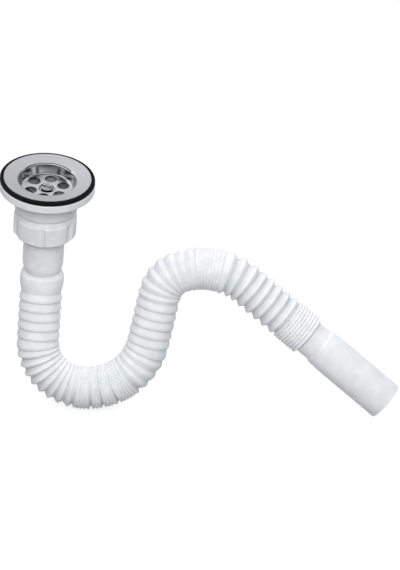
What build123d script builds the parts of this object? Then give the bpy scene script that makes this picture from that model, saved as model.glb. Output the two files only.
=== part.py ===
import os
from math import cos, degrees, radians, sin

from build123d import *

os.makedirs("parts", exist_ok=True)

# All sizes are in millimetres. The waste axis is Z, and z = 0 is the underside of the strainer's edge.

# Strainer: pressed stainless sheet, a shallow funnel rim round a perforated dish
sheet = 0.9
rim_diameter = 70.0
rim_drop = 1.8
mouth_diameter = 45.8
dish_depth = 9.0
dish_floor_diameter = 40.5
sheet_bend = 1.4
drain_hole_diameter = 9.8
drain_hole_circle = 27.0
drain_hole_count = 6
drain_hole_turn = 20.0
dimple_diameter = 12.4
dimple_floor_diameter = 10.4
dimple_depth = 1.5
dimple_bend = 0.4
rim_edge_round = 0.3

# Clamp screw and the nut it pulls on
screw_diameter = 6.0
screw_head_diameter = 9.4
screw_head_height = 2.6
screw_head_dome = 0.7
screw_slot_width = 1.4
screw_slot_depth = 1.5
screw_length = 28.0
screw_clearance = 0.3
screw_point = 0.75
clamp_nut_across_flats = 10.0
clamp_nut_height = 5.0
thread_clearance = 0.12

# Rubber gasket between the strainer's rim and the waste body
gasket_diameter = 76.0
gasket_bore = 52.0
gasket_thickness = 3.0
gasket_edge_round = 0.9
rim_rest_gap = 0.1

# Waste body: skirted flange, funnel, neck and threaded spigot, with a spider that holds the clamp nut
flange_diameter = 76.6
flange_thickness = 2.4
flange_edge_round = 0.7
skirt_height = 6.6
funnel_height = 9.0
neck_top_diameter = 51.6
neck_foot_diameter = 50.0
neck_height = 8.7
body_wall = 2.0
cup_top_diameter = 53.0
cup_floor_thickness = 2.4
cup_floor_fall = 1.0
spigot_diameter = 41.6
spigot_length = 18.9
spigot_bore = 35.0
boss_diameter = 15.0
boss_drop = 3.3
boss_rise = 1.0
web_count = 4
web_turn = 45.0
web_thickness = 2.2
web_height = 6.0
nut_pocket_clearance = 0.15
nut_pocket_rim = 1.2

# Union: flat washer, hose collar and lobed nut
union_thread_gap = 0.7
union_gap = 0.7
washer_width = 4.5
washer_thickness = 2.5
collar_clearance = 2.2
collar_thickness = 2.4
tail_clearance = 0.3
nut_rim_wall = 1.0
nut_rim_height = 6.0
nut_lobe_wall = 3.7
nut_ledge = 0.9
nut_lobe_height = 15.6
nut_foot_wall = 1.85
nut_floor = 4.2
nut_lobe_count = 6
nut_valley_turn = -95.0
nut_valley_radius = 5.0
nut_valley_depth = 1.8
nut_valley_flare = 2.5
nut_edge_round = 0.6

# Hose: plain tail, bellows and plain outlet, blown in one piece
tail_diameter = 32.9
tail_length = 34.3
tail_neck_diameter = 29.8
tail_neck_length = 6.0
tail_wall = 2.0
hose_bore = 26.2
hose_wall = 1.2
crest_diameter = 35.2
slack_fold_depth = 1.7
crown_fold_depth = 2.0
pleat_depth = 1.2
open_crest_share = 0.6
drop_crest_share = 0.72
riser_crest_share = 0.36
entry_flare = 5.2
entry_band = 7.6
entry_length = 19.7
drop_fold_count = 6
drop_pitch = 7.8
seal_fold_count = 8
seal_pitch = 5.95
seal_pleat_counts = (4, 2, 3, 5)
seal_pleat_pitch = 2.2
seal_notch_pitch = 3.4
foot_fold_count = 3
riser_fold_count = 6
riser_pitch = 7.7
crown_fold_count = 7
crown_pitch = 6.1
crown_pleat_count = 8
crown_pleat_pitch = 2.6
fall_fold_count = 8
fall_pitch = 8.2
outlet_pleat_count = 7
outlet_pleat_pitch = 2.75
exit_length = 3.6
outlet_neck_diameter = 28.6
outlet_neck_length = 13.2
outlet_step = 1.2
outlet_taper_length = 12.0
outlet_diameter = 32.0
outlet_length = 69.5
outlet_wall = 1.8
outlet_edge = 0.6

# Hose centreline: it leans forward below the tail, then runs in one leaning plane
hose_lean = 18.0
lean_radius = 32.0
drop_run = 50.2
seal_in_radius = 37.5
seal_in_angle = 82.0
seal_out_radius = 50.0
seal_out_angle = 89.0
riser_run = 40.6
crown_in_radius = 25.5
crown_in_angle = 61.0
crown_out_radius = 57.0
crown_out_angle = 57.0
bore_turn = 14.0

# Levels down the waste axis
rim_radius = rim_diameter / 2
mouth_radius = mouth_diameter / 2 + sheet
rim_slope = rim_drop / (rim_radius - mouth_radius)


def under_rim(radius):
    return -(rim_radius - radius) * rim_slope


def gasket_top(radius):
    return under_rim(radius) - rim_rest_gap


def flange_top(radius):
    return gasket_top(radius) - gasket_thickness


dish_foot = -dish_depth - sheet
screw_seat = -dish_depth - dimple_depth
skirt_foot = flange_top(flange_diameter / 2) - skirt_height
funnel_foot = skirt_foot - funnel_height
neck_foot = funnel_foot - neck_height
spigot_foot = neck_foot - spigot_length
cup_floor_top = neck_foot + cup_floor_thickness
boss_top = screw_seat - boss_drop
boss_foot = neck_foot + boss_rise
clamp_nut_top = boss_foot + nut_pocket_rim + clamp_nut_height
washer_foot = spigot_foot - washer_thickness
collar_foot = washer_foot - collar_thickness
nut_top = neck_foot - union_gap
nut_bore = spigot_diameter + 2 * union_thread_gap
nut_lobe_diameter = nut_bore + 2 * nut_lobe_wall
nut_foot_bore = tail_diameter + 2 * tail_clearance
collar_diameter = nut_bore - 2 * collar_clearance
nut_rim_foot = nut_top - nut_rim_height
nut_lobe_foot = nut_rim_foot - nut_lobe_height
nut_foot = collar_foot - nut_floor
tail_foot = collar_foot - tail_length

# Strainer
with BuildPart() as strainer:
    with BuildSketch(Plane.XZ):
        with BuildLine():
            FilletPolyline(
                (rim_radius, 0),
                (mouth_radius, -rim_drop),
                (dish_floor_diameter / 2 + sheet, dish_foot),
                (dimple_diameter / 2 + sheet, dish_foot),
                (dimple_floor_diameter / 2 + sheet, dish_foot - dimple_depth),
                (screw_diameter / 2 + screw_clearance, dish_foot - dimple_depth),
                radius=(sheet_bend, sheet_bend + sheet, dimple_bend, dimple_bend + sheet),
            )
            offset(amount=sheet, side=Side.RIGHT)
        make_face()
    revolve(axis=Axis.Z)
    with BuildSketch(Plane.XY.offset(-dish_depth)):
        with PolarLocations(drain_hole_circle / 2, drain_hole_count, drain_hole_turn):
            Circle(drain_hole_diameter / 2)
    extrude(amount=-2 * sheet, mode=Mode.SUBTRACT)
    rim_edge = strainer.edges().filter_by(GeomType.CIRCLE).sort_by(Axis.Z)[-1]
    fillet(rim_edge, radius=rim_edge_round)
strainer.part.label = "strainer"
export_step(strainer.part, "parts/strainer.step")

# Clamp screw: domed slotted head on the dimple's floor
with BuildPart() as clamp_screw:
    with BuildSketch(Plane.XY.offset(screw_seat)):
        Circle(screw_head_diameter / 2)
    extrude(amount=screw_head_height)
    fillet(clamp_screw.edges().group_by(Axis.Z)[-1], radius=screw_head_dome)
    with BuildSketch(Plane.XY.offset(screw_seat + screw_head_height)):
        Rectangle(screw_head_diameter, screw_slot_width, rotation=-drain_hole_turn)
    extrude(amount=-screw_slot_depth, mode=Mode.SUBTRACT)
    with BuildSketch(Plane.XY.offset(screw_seat)):
        Circle(screw_diameter / 2)
    extrude(amount=-screw_length)
    chamfer(clamp_screw.edges().group_by(Axis.Z)[0], length=screw_point)
clamp_screw.part.label = "clamp_screw"
export_step(clamp_screw.part, "parts/clamp_screw.step")

# Flange gasket: a flat ring that lies in the rim's slope
with BuildPart() as flange_gasket:
    with BuildSketch(Plane.XZ) as gasket_section:
        with BuildLine():
            Polyline(
                (gasket_bore / 2, gasket_top(gasket_bore / 2)),
                (gasket_diameter / 2, gasket_top(gasket_diameter / 2)),
                (gasket_diameter / 2, flange_top(gasket_diameter / 2)),
                (gasket_bore / 2, flange_top(gasket_bore / 2)),
                close=True,
            )
        make_face()
        fillet(gasket_section.vertices().group_by(Axis.X)[-1], radius=gasket_edge_round)
    revolve(axis=Axis.Z)
flange_gasket.part.label = "flange_gasket"
export_step(flange_gasket.part, "parts/flange_gasket.step")

# Waste body
skirt_inside = flange_diameter / 2 - body_wall
funnel_outside = cup_top_diameter / 2 + body_wall
with BuildPart() as waste_body:
    with BuildSketch(Plane.XZ) as body_section:
        with BuildLine():
            Polyline(
                (cup_top_diameter / 2, flange_top(cup_top_diameter / 2)),
                (flange_diameter / 2, flange_top(flange_diameter / 2)),
                (flange_diameter / 2, skirt_foot),
                (skirt_inside, skirt_foot),
                (skirt_inside, flange_top(skirt_inside) - flange_thickness),
                (funnel_outside, flange_top(funnel_outside) - flange_thickness),
                (neck_top_diameter / 2, funnel_foot),
                (neck_foot_diameter / 2, neck_foot),
                (spigot_diameter / 2, neck_foot),
                (spigot_diameter / 2, spigot_foot),
                (spigot_bore / 2, spigot_foot),
                (spigot_bore / 2, cup_floor_top - cup_floor_fall),
                (neck_foot_diameter / 2 - body_wall, cup_floor_top),
                (neck_top_diameter / 2 - body_wall, funnel_foot),
                close=True,
            )
        make_face()
        fillet(body_section.vertices().group_by(Axis.X)[-1], radius=flange_edge_round)
    revolve(axis=Axis.Z)
    with BuildSketch(Plane.XY.offset(boss_foot)):
        with PolarLocations(0, web_count, web_turn):
            Rectangle(
                neck_foot_diameter / 2 - body_wall / 2,
                web_thickness,
                align=(Align.MIN, Align.CENTER),
            )
    extrude(amount=web_height)
    with BuildSketch(Plane.XY.offset(boss_foot)):
        Circle(boss_diameter / 2)
    extrude(amount=boss_top - boss_foot)
    with BuildSketch(Plane.XY.offset(boss_foot)):
        RegularPolygon(
            clamp_nut_across_flats / 2 + nut_pocket_clearance, 6, major_radius=False
        )
    extrude(amount=clamp_nut_height + nut_pocket_rim, mode=Mode.SUBTRACT)
    with BuildSketch(Plane.XY.offset(boss_foot)):
        Circle(screw_diameter / 2 + screw_clearance)
    extrude(amount=boss_top - boss_foot, mode=Mode.SUBTRACT)
waste_body.part.label = "waste_body"
export_step(waste_body.part, "parts/waste_body.step")

# Clamp nut, held against the top of its pocket
with BuildPart() as clamp_nut:
    with BuildSketch(Plane.XY.offset(clamp_nut_top)):
        RegularPolygon(clamp_nut_across_flats / 2, 6, major_radius=False)
        Circle(screw_diameter / 2 + thread_clearance, mode=Mode.SUBTRACT)
    extrude(amount=-clamp_nut_height)
clamp_nut.part.label = "clamp_nut"
export_step(clamp_nut.part, "parts/clamp_nut.step")

# Union washer
with BuildPart() as union_washer:
    with BuildSketch(Plane.XY.offset(spigot_foot)):
        Circle(collar_diameter / 2)
        Circle(collar_diameter / 2 - washer_width, mode=Mode.SUBTRACT)
    extrude(amount=-washer_thickness)
union_washer.part.label = "union_washer"
export_step(union_washer.part, "parts/union_washer.step")

# Union nut: a tapered rim above rounded lobes parted by valleys
with BuildPart() as union_nut:
    with BuildSketch(Plane.XZ):
        with BuildLine():
            Polyline(
                (nut_bore / 2, nut_top),
                (nut_bore / 2 + nut_rim_wall, nut_top),
                (nut_lobe_diameter / 2 - nut_ledge, nut_rim_foot),
                (nut_lobe_diameter / 2, nut_rim_foot),
                (nut_lobe_diameter / 2, nut_lobe_foot),
                (nut_foot_bore / 2 + nut_foot_wall, nut_foot),
                (nut_foot_bore / 2, nut_foot),
                (nut_foot_bore / 2, collar_foot),
                (nut_bore / 2, collar_foot),
                close=True,
            )
        make_face()
    revolve(axis=Axis.Z)
    lobe_edges = union_nut.edges().filter_by(GeomType.CIRCLE).group_by(SortBy.RADIUS)[-1]
    fillet(lobe_edges, radius=nut_edge_round)
    with BuildSketch(Plane.XY.offset(nut_rim_foot)):
        valley_circle = nut_lobe_diameter / 2 - nut_valley_depth + nut_valley_radius
        with PolarLocations(valley_circle, nut_lobe_count, nut_valley_turn):
            Circle(nut_valley_radius)
    extrude(amount=nut_foot - nut_rim_foot, taper=-nut_valley_flare, mode=Mode.SUBTRACT)
union_nut.part.label = "union_nut"
export_step(union_nut.part, "parts/union_nut.step")

# Hose: rings along the bellows, as distance from the tail's crease and radius.
# A run of folds is how many, how long each is, where its crest stands in that length, and its root radius.
crest_radius = crest_diameter / 2
open_root = hose_bore / 2 + hose_wall
slack_root = crest_radius - slack_fold_depth
crown_root = crest_radius - crown_fold_depth
pleat_root = crest_radius - pleat_depth
fold_runs = [
    (drop_fold_count, drop_pitch, drop_crest_share, slack_root),
    (seal_fold_count, seal_pitch, open_crest_share, open_root),
]
for pleat_count in seal_pleat_counts:
    fold_runs.append((pleat_count, seal_pleat_pitch, open_crest_share, pleat_root))
    fold_runs.append((1, seal_notch_pitch, open_crest_share, open_root))
fold_runs += [
    (foot_fold_count, riser_pitch, open_crest_share, crown_root),
    (riser_fold_count, riser_pitch, riser_crest_share, slack_root),
    (crown_fold_count, crown_pitch, open_crest_share, crown_root),
    (crown_pleat_count, crown_pleat_pitch, open_crest_share, pleat_root),
    (fall_fold_count, fall_pitch, open_crest_share, open_root),
    (outlet_pleat_count, outlet_pleat_pitch, open_crest_share, pleat_root),
]
rings = [
    (0, tail_neck_diameter / 2),
    (entry_flare, crest_radius),
    (entry_flare + entry_band, crest_radius),
    (entry_length, slack_root),
]
reach = entry_length
for count, pitch, share, root in fold_runs:
    for _ in range(count):
        rings.append((reach + share * pitch, crest_radius))
        reach += pitch
        rings.append((reach, root))
bellows_length = reach + exit_length
rings.append((reach + open_crest_share * exit_length, crest_radius))
rings.append((bellows_length, outlet_neck_diameter / 2))

# Centreline of the bellows
hose_normal = Vector(0, -cos(radians(hose_lean)), sin(radians(hose_lean)))
with BuildLine(Plane.YZ) as lean:
    lean_arc = JernArc((0, tail_foot), (0, -1), lean_radius, -hose_lean)
with BuildLine(Plane(lean_arc @ 1, x_dir=(1, 0, 0), z_dir=hose_normal)) as run:
    drop = Line((0, 0), (0, -drop_run))
    seal_in = JernArc(drop @ 1, drop % 1, seal_in_radius, seal_in_angle)
    seal_out = JernArc(seal_in @ 1, seal_in % 1, seal_out_radius, seal_out_angle)
    riser = Line(seal_out @ 1, seal_out @ 1 + (seal_out % 1) * riser_run)
    crown_in = JernArc(riser @ 1, riser % 1, crown_in_radius, -crown_in_angle)
    crown_out = JernArc(crown_in @ 1, crown_in % 1, crown_out_radius, -crown_out_angle)
    bent_length = lean_arc.length + sum(edge.length for edge in run.edges())
    fall = Line(crown_out @ 1, crown_out @ 1 + (crown_out % 1) * (bellows_length - bent_length))
route = Wire(lean.edges() + run.edges())


def across(distance):
    return Plane(
        route.position_at(distance, PositionMode.LENGTH),
        x_dir=hose_normal,
        z_dir=route.tangent_at(distance, PositionMode.LENGTH),
    )


outlet_start = across(bellows_length)
outlet_axis = Axis(outlet_start.origin, outlet_start.z_dir)
outlet_side = Plane(outlet_start.origin, x_dir=hose_normal, z_dir=hose_normal.cross(outlet_start.z_dir))
outlet_end = outlet_neck_length + outlet_length

# Bore of the hose: stations at each end of a run, and through each bend
bore_stations = [0]
for edge in lean.edges() + run.edges():
    turned = bore_turn
    if edge.geom_type == GeomType.CIRCLE:
        turned = degrees(edge.length / edge.radius)
    steps = max(1, round(turned / bore_turn))
    bore_stations += [bore_stations[-1] + edge.length * (n + 1) / steps for n in range(steps)]
with BuildPart() as bore:
    for station in bore_stations:
        with BuildSketch(across(station)):
            Circle(hose_bore / 2)
    loft(ruled=True)
    with BuildSketch(Plane.XZ):
        with BuildLine():
            Polyline(
                (0, washer_foot),
                (tail_diameter / 2 - tail_wall, washer_foot),
                (tail_diameter / 2 - tail_wall, tail_foot + tail_neck_length),
                (hose_bore / 2, tail_foot),
                (0, tail_foot),
                close=True,
            )
        make_face()
    revolve(axis=Axis.Z)
    with BuildSketch(outlet_side):
        with BuildLine():
            Polyline(
                (0, 0),
                (hose_bore / 2, 0),
                (hose_bore / 2, outlet_neck_length),
                (outlet_diameter / 2 - outlet_wall, outlet_neck_length + outlet_taper_length),
                (outlet_diameter / 2 - outlet_wall, outlet_end),
                (0, outlet_end),
                close=True,
            )
        make_face()
    revolve(axis=outlet_axis)

with BuildPart() as corrugated_hose:
    for station, radius in rings:
        with BuildSketch(across(station)):
            Circle(radius)
    loft(ruled=True)
    with BuildSketch(Plane.XZ):
        with BuildLine():
            Polyline(
                (0, washer_foot),
                (collar_diameter / 2, washer_foot),
                (collar_diameter / 2, collar_foot),
                (tail_diameter / 2, collar_foot),
                (tail_diameter / 2, tail_foot + tail_neck_length),
                (tail_neck_diameter / 2, tail_foot),
                (0, tail_foot),
                close=True,
            )
        make_face()
    revolve(axis=Axis.Z)
    with BuildSketch(outlet_side):
        with BuildLine():
            Polyline(
                (0, 0),
                (outlet_neck_diameter / 2, 0),
                (outlet_neck_diameter / 2, outlet_neck_length - outlet_step),
                (outlet_neck_diameter / 2 + outlet_step, outlet_neck_length),
                (outlet_diameter / 2, outlet_neck_length + outlet_taper_length),
                (outlet_diameter / 2, outlet_end - outlet_edge),
                (outlet_diameter / 2 - outlet_edge, outlet_end),
                (0, outlet_end),
                close=True,
            )
        make_face()
    revolve(axis=outlet_axis)
    add(bore.part, mode=Mode.SUBTRACT)
corrugated_hose.part.label = "corrugated_hose"
export_step(corrugated_hose.part, "parts/corrugated_hose.step")
mouth = outlet_start.origin + outlet_start.z_dir * outlet_end
print("outlet mouth", mouth, "outlet axis", outlet_start.z_dir)
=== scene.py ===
import math

import bpy
from mathutils import Matrix, Vector


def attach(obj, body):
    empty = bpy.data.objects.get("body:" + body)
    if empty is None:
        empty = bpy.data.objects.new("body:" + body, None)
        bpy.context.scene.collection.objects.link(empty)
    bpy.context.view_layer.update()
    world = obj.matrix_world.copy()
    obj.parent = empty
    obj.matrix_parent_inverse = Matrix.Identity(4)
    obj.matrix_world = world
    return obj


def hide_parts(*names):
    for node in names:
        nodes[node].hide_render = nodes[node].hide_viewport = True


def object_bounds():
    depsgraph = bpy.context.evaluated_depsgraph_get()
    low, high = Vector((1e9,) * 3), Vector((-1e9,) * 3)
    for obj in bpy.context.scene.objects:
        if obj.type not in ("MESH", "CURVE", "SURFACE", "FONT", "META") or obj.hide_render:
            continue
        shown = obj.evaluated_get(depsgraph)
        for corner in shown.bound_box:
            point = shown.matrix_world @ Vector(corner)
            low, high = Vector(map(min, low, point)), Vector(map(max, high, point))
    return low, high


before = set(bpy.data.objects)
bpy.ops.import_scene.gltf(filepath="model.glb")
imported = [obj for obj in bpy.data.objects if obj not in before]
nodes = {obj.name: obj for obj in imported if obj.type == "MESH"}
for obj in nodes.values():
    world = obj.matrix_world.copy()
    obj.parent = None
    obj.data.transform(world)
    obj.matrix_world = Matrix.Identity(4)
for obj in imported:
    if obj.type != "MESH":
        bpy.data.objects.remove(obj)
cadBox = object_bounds()
mm = 0.001
print("frame loaded,", len(nodes), "nodes")


def linearColour(hexCode):
    # sRGB hex to the linear values that shaders expect
    channels = [int(hexCode[i:i + 2], 16) / 255 for i in (1, 3, 5)]
    return [c / 12.92 if c <= 0.04045 else ((c + 0.055) / 1.055) ** 2.4 for c in channels] + [1.0]


def setSockets(tree, node, **links):
    # a socket's name, or s and its number = a value to set, or the output that feeds it
    for key, value in links.items():
        numbered = key[0] == "s" and key[1:].isdigit()
        socket = node.inputs[int(key[1:]) if numbered else key.replace("_", " ")]
        if isinstance(value, bpy.types.NodeSocket):
            tree.links.new(value, socket)
        else:
            socket.default_value = value


def addNode(tree, kind, settings=None, stops=(), **links):
    # stops: place and hex colour of each stop, where the node is a colour ramp
    node = tree.nodes.new(kind)
    for key, value in (settings or {}).items():
        setattr(node, key, value)
    if stops:
        elements = node.color_ramp.elements
        while len(elements) < len(stops):
            elements.new(1.0)
        for element, (place, colour) in zip(elements, stops):
            element.position = place
            element.color = linearColour(colour)
    setSockets(tree, node, **links)
    return node


def newMaterial(name):
    material = bpy.data.materials.new(name)
    material.use_nodes = True
    tree = material.node_tree
    return material, tree, tree.nodes["Principled BSDF"]


def dress(nodeName, material):
    mesh = nodes[nodeName].data
    mesh.materials.clear()
    mesh.materials.append(material)


def addObject(name, data):
    made = bpy.data.objects.new(name, data)
    bpy.context.scene.collection.objects.link(made)
    return made


def addMesh(name, points, faces):
    mesh = bpy.data.meshes.new(name)
    mesh.from_pydata(points, [], faces)
    mesh.validate()
    mesh.update()
    return addObject(name, mesh)


def joinRings(ringCount, perRing, closed):
    # faces between each ring of points and the next one
    faces = []
    for ring in range(ringCount if closed else ringCount - 1):
        low, high = ring * perRing, (ring + 1) % ringCount * perRing
        for n in range(perRing):
            m = (n + 1) % perRing
            faces.append((low + n, low + m, high + m, high + n))
    return faces


# Hose: tail, bellows and outlet, blown in one piece. Sizes in mm, near to the solid's,
# with the folds rounded and the wall as thin as the real one
hose = {
    "washerFoot": -48.27, "tailLength": 36.7, "collarRadius": 19.3, "collarThickness": 2.4,
    "tailRadius": 16.45, "tailWall": 2.0, "tailNeckRadius": 14.9, "tailNeckLength": 6.0,
    # the pinch where tail and bellows meet: place along the hose, height over the tail's neck
    "pinch": [(-1.0, 0.3), (0.0, -0.6), (1.0, 0.5)],
    "entryFlare": 5.2, "entryBand": 7.6, "entryLength": 19.7, "exitLength": 3.6, "exitCrest": 0.6,
    "crestRadius": 17.6, "foldWall": 1.1,
    "openRoot": 14.3, "slackRoot": 15.9, "crownRoot": 15.6, "pleatRoot": 16.4,
    # folds of each run: count, pitch, where the crest stands in the pitch, root, how round the
    # crest is, and the side that a bend presses shut: 1 inside the seal, -1 under the crown
    "foldsBefore": [(6, 7.8, 0.77, "slackRoot", 2.6, 0), (8, 5.95, 0.6, "openRoot", 0.6, 1)],
    # under the seal, bunches of pleats with one open fold after each, the same but for the count
    "sealPleatCounts": [4, 2, 3, 5],
    "sealPleat": (2.2, 0.6, "pleatRoot", 0.5, 0), "sealNotch": (3.4, 0.6, "openRoot", 0.5, 1),
    "foldsAfter": [
        (3, 7.7, 0.6, "crownRoot", 1.4, 1), (6, 7.7, 0.29, "slackRoot", 2.6, 0),
        (7, 6.1, 0.6, "crownRoot", 0.9, -1), (8, 2.6, 0.6, "pleatRoot", 0.5, 0),
        (8, 8.2, 0.6, "openRoot", 0.7, 0), (7, 2.75, 0.6, "pleatRoot", 0.5, 0)],
    "outletNeckRadius": 14.3, "outletNeckLength": 13.2, "outletStep": 1.2, "outletTaper": 12.0,
    "outletRadius": 16.0, "outletLength": 69.5, "outletWall": 1.8,
    # centreline: bends as radius and angle, straights as length
    "lean": 18.0, "leanRadius": 32.0,
    "drop": 50.2, "sealIn": (37.5, 82.0), "sealOut": (50.0, 89.0),
    "riser": 40.6, "crownIn": (25.5, -61.0), "crownOut": (57.0, -57.0),
    "rootRound": 0.2, "edgeRound": 0.6, "tailRound": 2.5, "flareRound": 1.6, "bandRound": 2.4,
    "exitRound": 0.8, "taperRound": 4.0,
    "roundSteps": 3, "roundMost": 0.45,  # points in a rounding, and the most of a side it takes
    "segments": 72, "shutPower": 1.5, "sharpAngle": 60.0,
}


def hoseRoute(bellowsLength):
    # a list of stretches: length, angle turned in radians, the axis it turns about
    lean = math.radians(hose["lean"])
    bendAxis = Vector((0, -math.cos(lean), math.sin(lean)))
    stretches = [(hose["leanRadius"] * lean, -lean, Vector((1, 0, 0)))]
    for straight, *bends in (("drop", "sealIn", "sealOut"), ("riser", "crownIn", "crownOut")):
        stretches.append((hose[straight], 0.0, bendAxis))
        for bend in bends:
            radius, angle = hose[bend]
            stretches.append((radius * math.radians(abs(angle)), math.radians(angle), bendAxis))
    bent = sum(length for length, _, _ in stretches)
    fall = bellowsLength - bent + hose["outletNeckLength"] + hose["outletLength"]
    return [(hose["tailLength"], 0.0, bendAxis), *stretches, (fall, 0.0, bendAxis)]


def along(stretches, distance):
    # place, direction and a steady cross direction at a distance down the hose
    place = Vector((0, 0, hose["washerFoot"]))
    heading = Vector((0, 0, -1))
    cross = Vector((0, -1, 0))
    for length, angle, axis in stretches:
        part = min(distance, length)
        if angle:
            turn = Matrix.Rotation(angle * part / length, 3, axis)
            centre = place + axis.cross(heading) * (length / angle)
            place = centre + turn @ (place - centre)
            heading = turn @ heading
            cross = turn @ cross
        else:
            place = place + heading * part
        distance -= part
        if distance <= 0:
            break
    return place, heading, cross


def roundCorners(corners):
    # each corner (distance, radius, rounding, shut side) of an outline becomes a short curve
    points = [Vector(corner[:2]) for corner in corners]
    steps, most = hose["roundSteps"], hose["roundMost"]
    made = [(points[0].x, points[0].y, 0)]
    for n in range(1, len(points) - 1):
        _, _, rounding, shut = corners[n]
        back, ahead = points[n - 1] - points[n], points[n + 1] - points[n]
        back = back.normalized() * min(rounding, back.length * most)
        ahead = ahead.normalized() * min(rounding, ahead.length * most)
        for k in range(steps + 1):
            f = k / steps
            point = points[n] + back * (1 - f) ** 2 + ahead * f ** 2
            made.append((point.x, point.y, shut))
    made.append((points[-1].x, points[-1].y, 0))
    return made


def bellowsCorners():
    # corners of the folds: distance down the bellows, radius, rounding, shut side
    crest, neck, rootRound = hose["crestRadius"], hose["tailNeckRadius"], hose["rootRound"]
    corners = [(place, neck + height, rootRound, 0) for place, height in hose["pinch"]]
    corners += [
        (hose["entryFlare"], crest, hose["flareRound"], 0),
        (hose["entryFlare"] + hose["entryBand"], crest, hose["bandRound"], 0),
        (hose["entryLength"], hose["slackRoot"], rootRound, 0)]
    runs = list(hose["foldsBefore"])
    for count in hose["sealPleatCounts"]:
        runs += [(count, *hose["sealPleat"]), (1, *hose["sealNotch"])]
    runs += hose["foldsAfter"]
    reach = hose["entryLength"]
    for count, pitch, share, root, crestRound, shut in runs:
        for _ in range(count):
            corners.append((reach + share * pitch, crest, crestRound, 0))
            reach += pitch
            corners.append((reach, hose[root], rootRound, shut))
    bellowsLength = reach + hose["exitLength"]
    corners += [
        (reach + hose["exitCrest"] * hose["exitLength"], crest, hose["exitRound"], 0),
        (bellowsLength, hose["outletNeckRadius"], rootRound, 0)]
    return corners, bellowsLength


def hoseOutline(folds, bellowsLength):
    # the wall cut lengthwise: down its outside and back up its inside
    tail, edge = hose["tailLength"], hose["edgeRound"]
    neckEnd = tail + bellowsLength + hose["outletNeckLength"]
    taperEnd = neckEnd + hose["outletTaper"]
    mouth = neckEnd + hose["outletLength"]
    tailInside = hose["tailRadius"] - hose["tailWall"]
    outletInside = hose["outletRadius"] - hose["outletWall"]
    outside = [
        (0, tailInside, 0, 0), (0, hose["collarRadius"], edge / 2, 0),
        (hose["collarThickness"], hose["collarRadius"], edge / 2, 0),
        (hose["collarThickness"], hose["tailRadius"], edge, 0),
        (tail - hose["tailNeckLength"], hose["tailRadius"], hose["tailRound"], 0)]
    outside += [(tail + reach, radius, rounding, shut) for reach, radius, rounding, shut in folds]
    outside += [
        (neckEnd - hose["outletStep"], hose["outletNeckRadius"], edge, 0),
        (neckEnd, hose["outletNeckRadius"] + hose["outletStep"], edge, 0),
        (taperEnd, hose["outletRadius"], hose["taperRound"], 0),
        (mouth, hose["outletRadius"], edge, 0), (mouth, outletInside, edge, 0),
        (mouth - 2 * edge, outletInside, 0, 0)]
    wall = hose["foldWall"]
    inside = [(taperEnd, outletInside, 0)]
    inside += [(tail + reach, radius - wall, 0) for reach, radius, _, _ in reversed(folds)]
    inside.append((tail - hose["tailNeckLength"], tailInside, 0))
    return roundCorners(outside) + inside


def makeHose():
    # a ring of points for each point of the outline, joined into a closed skin
    folds, bellowsLength = bellowsCorners()
    outline = hoseOutline(folds, bellowsLength)
    stretches = hoseRoute(bellowsLength)
    bellowsStart, bellowsEnd = hose["tailLength"], hose["tailLength"] + bellowsLength
    deepest, shallow, highest = hose["openRoot"], hose["pleatRoot"], hose["crestRadius"]
    segments = hose["segments"]
    angles = [2 * math.pi * n / segments for n in range(segments)]
    points = []
    # the crease depth sets where the material paints shade into the folds
    crease = []  # for the material: 0 in the deepest root, 1 on a crest and off the bellows
    for reach, radius, shut in outline:
        place, heading, cross = along(stretches, reach)
        side = cross.cross(heading)
        inFolds = bellowsStart < reach < bellowsEnd
        for angle in angles:
            pressed = (0.5 + 0.5 * shut * math.sin(angle)) ** hose["shutPower"] if shut else 0.0
            out = radius + max(0.0, shallow - radius) * pressed
            points.append((place + (cross * math.cos(angle) + side * math.sin(angle)) * out) * mm)
            crease.append((out - deepest) / (highest - deepest) if inFolds else 1.0)
    piece = addMesh("bellows_hose", points, joinRings(len(outline), segments, closed=True))
    piece.data.attributes.new("crease", "FLOAT", "POINT").data.foreach_set("value", crease)
    piece.data.shade_smooth()
    piece.data.set_sharp_from_angle(angle=math.radians(hose["sharpAngle"]))
    return piece


bellows = makeHose()
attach(bellows, "hose")
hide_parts("corrugated_hose")
print("hose made,", len(bellows.data.polygons), "faces")


# Spigot thread: moulded with the body, seen once the union nut is screwed down. Sizes in mm
thread = {
    "rootRadius": 20.75, "height": 0.5, "endHeight": 0.02, "pitch": 2.309,
    "rootWidth": 1.7, "crestWidth": 0.5, "top": -29.2, "foot": -44.6,
    "stepsPerTurn": 48, "runOut": 0.25,
}


def makeThread():
    # a trapezoid wound round the spigot, its height fading out at both ends
    turns = (thread["top"] - thread["foot"]) / thread["pitch"]
    steps = round(turns * thread["stepsPerTurn"])
    root, base, flat = thread["rootRadius"], thread["rootWidth"] / 2, thread["crestWidth"] / 2
    points = []
    for n in range(steps + 1):
        done = turns * n / steps
        fade = min(1.0, done / thread["runOut"], (turns - done) / thread["runOut"])
        angle = -2 * math.pi * done
        height = thread["top"] - thread["pitch"] * done
        crest = root + thread["endHeight"] + thread["height"] * fade
        section = [(root, base), (crest, flat), (crest, -flat), (root, -base)]
        for radius, rise in section:
            x, y = radius * math.cos(angle), radius * math.sin(angle)
            points.append((x * mm, y * mm, (height + rise) * mm))
    corners = len(section)
    faces = joinRings(steps + 1, corners, closed=False)
    faces.append(tuple(reversed(range(corners))))
    faces.append(tuple(corners * steps + k for k in range(corners)))
    return addMesh("spigot_thread", points, faces)


spigotThread = makeThread()
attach(spigotThread, "waste")
print("spigot thread made")


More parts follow.
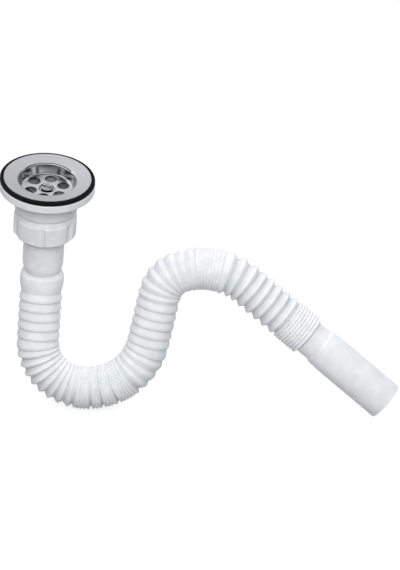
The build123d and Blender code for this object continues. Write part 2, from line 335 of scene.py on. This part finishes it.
# White polypropylene: blown for the hose, injection-moulded for the body and nut.
# A milky white with a waxy, half-dull gloss that swims a little where the skin cooled unevenly
plastic = {
    "hoseLight": "#f3f5f7", "hoseDark": "#e4e8eb", "mouldLight": "#ebeef0", "mouldDark": "#dfe3e6",
    "mottleMm": 9.0, "mottleDetail": 3.0, "mottleRough": 0.55, "mottleRange": (0.3, 0.7),
    # painted shade: the grey painted into the fold roots, fading out by creaseTop of the crease
    # depth
    "paintedCreaseShade": "#d3d8dc", "creaseTop": 0.7,
    # painted shade in closed corners: its grey, how far the occlusion looks, the occlusion range it
    # fades over, and its samples
    "paintedCornerShade": "#63676b", "cornerMm": 45.0, "cornerRange": (0.05, 0.32), "cornerSamples": 8,
    # the grain of the mould is finer, and is drawn this coarse to show
    "grainMm": 0.7, "grainDetail": 2.0, "grainDepthMm": 0.05, "grainBump": 0.12,
    "roughness": (0.32, 0.46), "ior": 1.49, "milk": 0.12, "milkMm": 1.6,
    "softEdgeMm": 0.35, "softEdgeSamples": 6,
}


def polypropylene(name, light, dark, paintedCreaseShade=None, paintedCornerShade=None):
    material, tree, shader = newMaterial(name)
    coords = addNode(tree, "ShaderNodeTexCoord").outputs["Object"]
    mottle = addNode(tree, "ShaderNodeTexNoise", Vector=coords,
                     Scale=1 / (plastic["mottleMm"] * mm), Detail=plastic["mottleDetail"],
                     Roughness=plastic["mottleRough"]).outputs["Fac"]
    low, high = plastic["mottleRange"]
    colour = addNode(tree, "ShaderNodeValToRGB", stops=[(low, dark), (high, light)],
                     Fac=mottle).outputs["Color"]
    if paintedCreaseShade:
        # painted shade: greyer down in the folds, where the roots lie in shade
        depth = addNode(tree, "ShaderNodeAttribute", {"attribute_name": "crease"}).outputs["Fac"]
        shade = addNode(tree, "ShaderNodeMapRange", Value=depth,
                        From_Max=plastic["creaseTop"]).outputs["Result"]
        colour = addNode(tree, "ShaderNodeMix", {"data_type": "RGBA"}, s0=shade,
                         s6=linearColour(paintedCreaseShade), s7=colour).outputs[2]
    if paintedCornerShade:
        # painted shade: grey in closed corners where ambient occlusion finds little open room, such
        # as the cup behind the drain holes
        openness = addNode(tree, "ShaderNodeAmbientOcclusion",
                           {"samples": plastic["cornerSamples"]},
                           Distance=plastic["cornerMm"] * mm).outputs["AO"]
        low, high = plastic["cornerRange"]
        unshaded = addNode(tree, "ShaderNodeMapRange", Value=openness, From_Min=low,
                        From_Max=high).outputs["Result"]
        colour = addNode(tree, "ShaderNodeMix", {"data_type": "RGBA"}, s0=unshaded,
                         s6=linearColour(paintedCornerShade), s7=colour).outputs[2]
    low, high = plastic["roughness"]
    gloss = addNode(tree, "ShaderNodeMapRange", Value=mottle, To_Min=low,
                    To_Max=high).outputs["Result"]
    grain = addNode(tree, "ShaderNodeTexNoise", Vector=coords, Scale=1 / (plastic["grainMm"] * mm),
                    Detail=plastic["grainDetail"]).outputs["Fac"]
    soft = addNode(tree, "ShaderNodeBevel", {"samples": plastic["softEdgeSamples"]},
                   Radius=plastic["softEdgeMm"] * mm).outputs["Normal"]
    bump = addNode(tree, "ShaderNodeBump", Strength=plastic["grainBump"],
                   Distance=plastic["grainDepthMm"] * mm, Height=grain,
                   Normal=soft).outputs["Normal"]
    setSockets(tree, shader, Base_Color=colour, Roughness=gloss, Normal=bump, IOR=plastic["ior"],
               Subsurface_Weight=plastic["milk"], Subsurface_Radius=(1.0, 1.0, 1.0),
               Subsurface_Scale=plastic["milkMm"] * mm)
    return material


blownPlastic = polypropylene("polypropylene_blown_white", plastic["hoseLight"],
                             plastic["hoseDark"], paintedCreaseShade=plastic["paintedCreaseShade"])
mouldedPlastic = polypropylene("polypropylene_moulded_white", plastic["mouldLight"],
                               plastic["mouldDark"], paintedCornerShade=plastic["paintedCornerShade"])
bellows.data.materials.append(blownPlastic)
spigotThread.data.materials.append(mouldedPlastic)
dress("waste_body", mouldedPlastic)
dress("union_nut", mouldedPlastic)
print("plastics done")


# Stainless steel sheet: rim and dish floor keep a fine round satin, and the wall that the press
# drew down between them is burnished, so it mirrors the dark of the room
steel = {
    "satinLight": "#e2e3e6", "satinDark": "#d0d1d5", "burnished": "#c4c5c7",
    "mouthMm": 24.2, "mouthBlendMm": 0.5, "floorMm": -9.0, "floorBlendMm": (0.3, 0.8),
    # the lines of the satin are finer, and are drawn this coarse to show
    "ringMm": 0.5, "ringTurnMm": 1.2, "ringDetail": 4.0, "ringRough": 0.6, "ringRange": (0.3, 0.7),
    "ringDepthMm": 0.03, "ringBump": 0.06, "ringDulls": 0.12,
    "rimRoughness": 0.36, "floorRoughness": 0.16, "wallRoughness": 0.08,
}


def stainlessSheet():
    material, tree, shader = newMaterial("stainless_steel_pressed_satin")
    coords = addNode(tree, "ShaderNodeTexCoord").outputs["Object"]
    xyz = addNode(tree, "ShaderNodeSeparateXYZ", Vector=coords).outputs
    flat = addNode(tree, "ShaderNodeCombineXYZ", X=xyz["X"], Y=xyz["Y"]).outputs["Vector"]
    radius = addNode(tree, "ShaderNodeVectorMath", {"operation": "LENGTH"},
                     s0=flat).outputs["Value"]
    # where the satin is: outside the dish's mouth, and on its floor
    mouth, blend = steel["mouthMm"], steel["mouthBlendMm"]
    onRim = addNode(tree, "ShaderNodeMapRange", Value=radius, From_Min=(mouth - blend) * mm,
                    From_Max=(mouth + blend) * mm).outputs["Result"]
    offFloor = addNode(tree, "ShaderNodeMath", {"operation": "ADD"}, s0=xyz["Z"],
                       s1=-steel["floorMm"] * mm).outputs["Value"]
    fromFloor = addNode(tree, "ShaderNodeMath", {"operation": "ABSOLUTE"},
                        s0=offFloor).outputs["Value"]
    near, far = steel["floorBlendMm"]
    onFloor = addNode(tree, "ShaderNodeMapRange", Value=fromFloor, From_Min=far * mm,
                      From_Max=near * mm).outputs["Result"]
    satinPart = addNode(tree, "ShaderNodeMath", {"operation": "MAXIMUM"}, s0=onRim,
                        s1=onFloor).outputs["Value"]
    # rings round the middle, broken along their length
    angle = addNode(tree, "ShaderNodeMath", {"operation": "ARCTAN2"}, s0=xyz["Y"],
                    s1=xyz["X"]).outputs["Value"]
    turn = addNode(tree, "ShaderNodeMath", {"operation": "MULTIPLY"}, s0=angle,
                   s1=steel["ringTurnMm"] * mm).outputs["Value"]
    lathe = addNode(tree, "ShaderNodeCombineXYZ", X=radius, Y=turn).outputs["Vector"]
    brushed = addNode(tree, "ShaderNodeTexNoise", Vector=lathe, Scale=1 / (steel["ringMm"] * mm),
                      Detail=steel["ringDetail"], Roughness=steel["ringRough"]).outputs["Fac"]
    low, high = steel["ringRange"]
    satin = addNode(tree, "ShaderNodeValToRGB", Fac=brushed,
                    stops=[(low, steel["satinDark"]), (high, steel["satinLight"])]).outputs["Color"]
    colour = addNode(tree, "ShaderNodeMix", {"data_type": "RGBA"}, s0=satinPart,
                     s6=linearColour(steel["burnished"]), s7=satin).outputs[2]
    dishRough = addNode(tree, "ShaderNodeMapRange", Value=onFloor, To_Min=steel["wallRoughness"],
                        To_Max=steel["floorRoughness"]).outputs["Result"]
    rough = addNode(tree, "ShaderNodeMapRange", Value=onRim, To_Min=dishRough,
                    To_Max=steel["rimRoughness"]).outputs["Result"]
    streak = addNode(tree, "ShaderNodeMath", {"operation": "MULTIPLY_ADD"}, s0=brushed,
                     s1=steel["ringDulls"], s2=rough).outputs["Value"]
    bump = addNode(tree, "ShaderNodeBump", Strength=steel["ringBump"],
                   Distance=steel["ringDepthMm"] * mm, Height=brushed).outputs["Normal"]
    setSockets(tree, shader, Base_Color=colour, Roughness=streak, Normal=bump, Metallic=1.0)
    return material


dress("strainer", stainlessSheet())
print("strainer done")


# Stainless screw: a turned head with fine rings round its middle, a rolled thread on the shank,
# and painted shade below the head's face: its side and the shank are near black, for the dark that
# they mirror
screw = {
    # side is painted shade: the near black below sideMm
    "light": "#cfd0d2", "dark": "#9fa1a5", "side": "#2e2f31", "roughness": 0.24,
    "sideMm": -8.7, "sideBlendMm": 0.1, "headFootMm": -10.5, "pitchMm": 1.0, "threadDepthMm": 0.22,
    # the cut of the tool is finer, and is drawn this coarse to show
    "ringMm": 2.83, "ringWobble": 1.5, "ringDetail": 2.0, "ringDepthMm": 0.004,
    "waveLength": math.pi / 10,  # of a wave texture whose scale is 1
}


def turnedSteel():
    material, tree, shader = newMaterial("stainless_steel_turned")
    coords = addNode(tree, "ShaderNodeTexCoord").outputs["Object"]
    xyz = addNode(tree, "ShaderNodeSeparateXYZ", Vector=coords).outputs
    rings = addNode(tree, "ShaderNodeTexWave", {"wave_type": "RINGS", "rings_direction": "Z"},
                    Vector=coords, Scale=screw["waveLength"] / (screw["ringMm"] * mm),
                    Distortion=screw["ringWobble"], Detail=screw["ringDetail"]).outputs["Fac"]
    turned = addNode(tree, "ShaderNodeValToRGB", Fac=rings,
                     stops=[(0.0, screw["dark"]), (1.0, screw["light"])]).outputs["Color"]
    # painted shade: near black below the head's face
    side, blend = screw["sideMm"], screw["sideBlendMm"]
    onTop = addNode(tree, "ShaderNodeMapRange", Value=xyz["Z"], From_Min=(side - blend) * mm,
                    From_Max=(side + blend) * mm).outputs["Result"]
    colour = addNode(tree, "ShaderNodeMix", {"data_type": "RGBA"}, s0=onTop,
                     s6=linearColour(screw["side"]), s7=turned).outputs[2]
    # the thread winds round the shank: its ridge is a wave of height and angle together
    angle = addNode(tree, "ShaderNodeMath", {"operation": "ARCTAN2"}, s0=xyz["Y"],
                    s1=xyz["X"]).outputs["Value"]
    winding = addNode(tree, "ShaderNodeMath", {"operation": "MULTIPLY_ADD"}, s0=xyz["Z"],
                      s1=-2 * math.pi / (screw["pitchMm"] * mm), s2=angle).outputs["Value"]
    ridge = addNode(tree, "ShaderNodeMath", {"operation": "SINE"}, s0=winding).outputs["Value"]
    shank = addNode(tree, "ShaderNodeMath", {"operation": "LESS_THAN"}, s0=xyz["Z"],
                    s1=screw["headFootMm"] * mm).outputs["Value"]
    depth = addNode(tree, "ShaderNodeMapRange", Value=shank,
                    To_Max=screw["threadDepthMm"] / 2 * mm).outputs["Result"]
    fine = addNode(tree, "ShaderNodeMath", {"operation": "MULTIPLY"}, s0=rings,
                   s1=screw["ringDepthMm"] * mm).outputs["Value"]
    height = addNode(tree, "ShaderNodeMath", {"operation": "MULTIPLY_ADD"}, s0=ridge, s1=depth,
                     s2=fine).outputs["Value"]
    bump = addNode(tree, "ShaderNodeBump", Strength=1.0, Distance=1.0,
                   Height=height).outputs["Normal"]
    setSockets(tree, shader, Base_Color=colour, Roughness=screw["roughness"], Normal=bump,
               Metallic=1.0)
    return material


dress("clamp_screw", turnedSteel())


# Brass nut: bar stock cut to length, yellow with darker brown patches
brass = {
    "light": "#d8b56a", "dark": "#a98445", "roughness": 0.34,
    "patchMm": 1.6, "patchDetail": 4.0, "patchRange": (0.35, 0.65),
}


def barBrass():
    material, tree, shader = newMaterial("brass_turned")
    coords = addNode(tree, "ShaderNodeTexCoord").outputs["Object"]
    patches = addNode(tree, "ShaderNodeTexNoise", Vector=coords, Scale=1 / (brass["patchMm"] * mm),
                      Detail=brass["patchDetail"]).outputs["Fac"]
    low, high = brass["patchRange"]
    colour = addNode(tree, "ShaderNodeValToRGB", Fac=patches,
                     stops=[(low, brass["dark"]), (high, brass["light"])]).outputs["Color"]
    setSockets(tree, shader, Base_Color=colour, Roughness=brass["roughness"], Metallic=1.0)
    return material


dress("clamp_nut", barBrass())


# Rubber: EPDM moulded, near black with a soft grey sheen and a fine tooth
rubber = {
    "light": "#0f1011", "dark": "#060607", "roughness": 0.6, "sheen": 0.1,
    # the tooth is finer, and is drawn this coarse to show
    "toothMm": 0.4, "toothDetail": 3.0, "toothRange": (0.3, 0.7), "toothDepthMm": 0.04,
    "toothBump": 0.2,
}


def mouldedRubber():
    material, tree, shader = newMaterial("rubber_moulded_black")
    coords = addNode(tree, "ShaderNodeTexCoord").outputs["Object"]
    tooth = addNode(tree, "ShaderNodeTexNoise", Vector=coords, Scale=1 / (rubber["toothMm"] * mm),
                    Detail=rubber["toothDetail"]).outputs["Fac"]
    low, high = rubber["toothRange"]
    colour = addNode(tree, "ShaderNodeValToRGB", Fac=tooth,
                     stops=[(low, rubber["dark"]), (high, rubber["light"])]).outputs["Color"]
    bump = addNode(tree, "ShaderNodeBump", Strength=rubber["toothBump"],
                   Distance=rubber["toothDepthMm"] * mm, Height=tooth).outputs["Normal"]
    setSockets(tree, shader, Base_Color=colour, Roughness=rubber["roughness"], Normal=bump,
               Specular_IOR_Level=rubber["sheen"])
    return material


blackRubber = mouldedRubber()
dress("flange_gasket", blackRubber)
dress("union_washer", blackRubber)
print("metals and rubber done")


# Floor: pale paper. Its own glow, seen but not cast on the trap, lifts it to white and leaves
# the shadow
paper = {"colour": "#8a8b8c", "glowColour": "#ffffff", "glow": 0.8, "roughness": 0.9, "size": 12.0}


def makeFloor():
    size, height = paper["size"], cadBox[0].z
    corners = [(-size, -size, height), (size, -size, height), (size, size, height),
               (-size, size, height)]
    floor = addMesh("floor", corners, [(0, 1, 2, 3)])
    material, tree, shader = newMaterial("paper_floor")
    # the rays that show the floor: to the eye, in metal and through clear things
    path = addNode(tree, "ShaderNodeLightPath").outputs
    either = addNode(tree, "ShaderNodeMath", {"operation": "MAXIMUM"}, s0=path["Is Camera Ray"],
                     s1=path["Is Glossy Ray"]).outputs["Value"]
    seen = addNode(tree, "ShaderNodeMath", {"operation": "MAXIMUM"}, s0=either,
                   s1=path["Is Transmission Ray"]).outputs["Value"]
    glow = addNode(tree, "ShaderNodeMath", {"operation": "MULTIPLY"}, s0=seen,
                   s1=paper["glow"]).outputs["Value"]
    setSockets(tree, shader, Base_Color=linearColour(paper["colour"]),
               Roughness=paper["roughness"], Specular_IOR_Level=0.0,
               Emission_Color=linearColour(paper["glowColour"]), Emission_Strength=glow)
    floor.data.materials.append(material)


# Room and lamps, in metres and watts
studio = {
    "background": "#ffffff", "backgroundLevel": 1.0,
    # the light that the room casts, brightest from above and behind
    "skyDirection": (0.0, 0.55, 0.83), "skyRange": (0.05, 0.9), "skyDim": 0.05, "skyBright": 0.85,
    # what metal mirrors, in degrees over from the horizon behind: a white wall, a black ceiling,
    # a softbox high in front and the dark of the room below it
    "mirrored": [(0, "#b0b0b0"), (30, "#d0d0d0"), (62, "#ffffff"), (73, "#303030"),
                 (100, "#303030"), (107, "#ffffff"), (135, "#ffffff"), (143, "#242424"),
                 (180, "#242424")],
    "mirrorBright": 1.15, "mirrorSlant": -0.5,  # the slant makes the left brighter
    "lampTarget": (0.12, 0.0, -0.1),
    "keyPower": 55.0, "keySize": 1.4, "keyPlace": (0.05, -1.95, 1.65),
    "fillPower": 22.0, "fillSize": 2.0, "fillPlace": (0.5, 2.3, 1.2),
}


def makeRoom():
    # one room to light by, one for metal to mirror, and plain white where the eye looks past the
    # floor
    world = bpy.data.worlds.new("studio")
    bpy.context.scene.world = world
    world.use_nodes = True
    tree = world.node_tree
    ray = addNode(tree, "ShaderNodeTexCoord").outputs["Generated"]
    facing = addNode(tree, "ShaderNodeVectorMath", {"operation": "DOT_PRODUCT"}, s0=ray,
                     s1=studio["skyDirection"]).outputs["Value"]
    low, high = studio["skyRange"]
    level = addNode(tree, "ShaderNodeMapRange", Value=facing, From_Min=low, From_Max=high,
                    To_Min=studio["skyDim"], To_Max=studio["skyBright"]).outputs["Result"]
    xyz = addNode(tree, "ShaderNodeSeparateXYZ", Vector=ray).outputs
    over = addNode(tree, "ShaderNodeMath", {"operation": "ARCTAN2"}, s0=xyz["Z"],
                   s1=xyz["Y"]).outputs["Value"]
    share = addNode(tree, "ShaderNodeMath", {"operation": "DIVIDE"}, s0=over,
                    s1=math.pi).outputs["Value"]
    bands = addNode(tree, "ShaderNodeValToRGB", Fac=share,
                    stops=[(degrees / 180, grey) for degrees, grey in studio["mirrored"]])
    slant = addNode(tree, "ShaderNodeMath", {"operation": "MULTIPLY_ADD"}, s0=xyz["X"],
                    s1=studio["mirrorSlant"], s2=studio["mirrorBright"]).outputs["Value"]
    mirror = addNode(tree, "ShaderNodeMath", {"operation": "MULTIPLY"}, s0=bands.outputs["Color"],
                     s1=slant).outputs["Value"]
    path = addNode(tree, "ShaderNodeLightPath").outputs
    cast = addNode(tree, "ShaderNodeMix", {"data_type": "FLOAT"}, s0=path["Is Glossy Ray"],
                   s2=level, s3=mirror).outputs[0]
    total = addNode(tree, "ShaderNodeMix", {"data_type": "FLOAT"}, s0=path["Is Camera Ray"],
                    s2=cast, s3=studio["backgroundLevel"]).outputs[0]
    setSockets(tree, tree.nodes["Background"], Color=linearColour(studio["background"]),
               Strength=total)


def makeLamps():
    # round softboxes aimed at the middle of the trap, which metal doesn't mirror
    for name in ("key", "fill"):
        lamp = bpy.data.lights.new(name + "_softbox", "AREA")
        lamp.shape = "DISK"
        lamp.size = studio[name + "Size"]
        lamp.energy = studio[name + "Power"]
        softbox = addObject(name + "_softbox", lamp)
        softbox.location = studio[name + "Place"]
        softbox.visible_glossy = False
        aim = Vector(studio["lampTarget"]) - softbox.location
        softbox.rotation_euler = aim.to_track_quat("-Z", "Y").to_euler()


# Camera: at the photo's angle, with the strainer's rim at its place in the photo
view = {
    "elevation": 33.3, "roll": 4.0, "distance": 6.0, "sensorMm": 36.0, "clipEnd": 100.0,
    "photoSize": (400, 570), "mmPerPixel": 0.795, "rimPixel": (47.6, 177.3), "rimMm": 0.9,
}


def makeCamera():
    elevation, roll = math.radians(view["elevation"]), math.radians(view["roll"])
    look = Vector((0, math.cos(elevation), -math.sin(elevation)))
    level = Vector((1, 0, 0))
    right = level * math.cos(roll) + level.cross(look) * math.sin(roll)
    up = right.cross(look)
    pixel = view["mmPerPixel"] * mm
    across, down = [(size / 2 - spot) * pixel
                    for size, spot in zip(view["photoSize"], view["rimPixel"])]
    centre = Vector((0, 0, view["rimMm"] * mm)) + right * across - up * down
    camera = bpy.data.cameras.new("camera")
    camera.sensor_width = view["sensorMm"]
    camera.lens = view["sensorMm"] * view["distance"] / (view["photoSize"][1] * pixel)
    camera.clip_end = view["clipEnd"]
    eye = addObject("camera", camera)
    turned = Matrix((right, up, -look)).transposed().to_4x4()
    eye.matrix_world = Matrix.Translation(centre - look * view["distance"]) @ turned
    bpy.context.scene.camera = eye


makeFloor()
makeRoom()
makeLamps()
makeCamera()
bpy.context.scene.view_settings.view_transform = "Standard"
print("stage, light and camera done")
